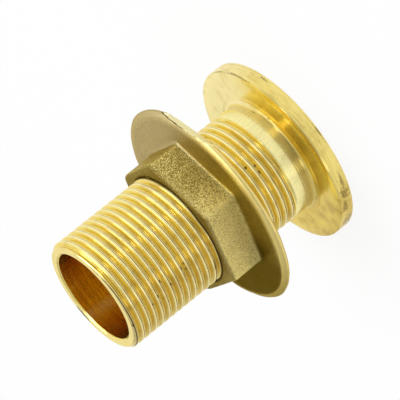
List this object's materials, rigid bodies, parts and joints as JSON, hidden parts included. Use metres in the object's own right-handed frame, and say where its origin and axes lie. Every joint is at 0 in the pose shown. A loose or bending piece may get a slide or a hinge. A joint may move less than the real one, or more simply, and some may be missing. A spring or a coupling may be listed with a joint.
{
  "type": "tank connector",
  "caption": "Brass tank connector: a flanged threaded body with a through bore, and a cast hexagon back nut whose round flange clamps the tank wall.",
  "frame": {"origin": "centre of the body flange's outer face, on which the part stands", "axes": "+Z along the bore, from the flange to the free threaded end; a corner of the nut's hexagon lies on +X"},
  "size_m": [0.0484, 0.0484, 0.0535],
  "materials": {
    "turned_brass": "bright turned brass with fine tool marks",
    "cast_brass": "dull sand cast brass with a fine sparkling grain"
  },
  "bodies": {
    "connector": {"connector_body": "turned_brass"},
    "nut": {"back_nut": "cast_brass"}
  },
  "joints": [
    {"name": "nut_travel", "type": "slide", "parent": "connector", "child": "nut", "axis": [0, 0, 1], "range_m": [-0.01088, 0.02358]}
  ]
}
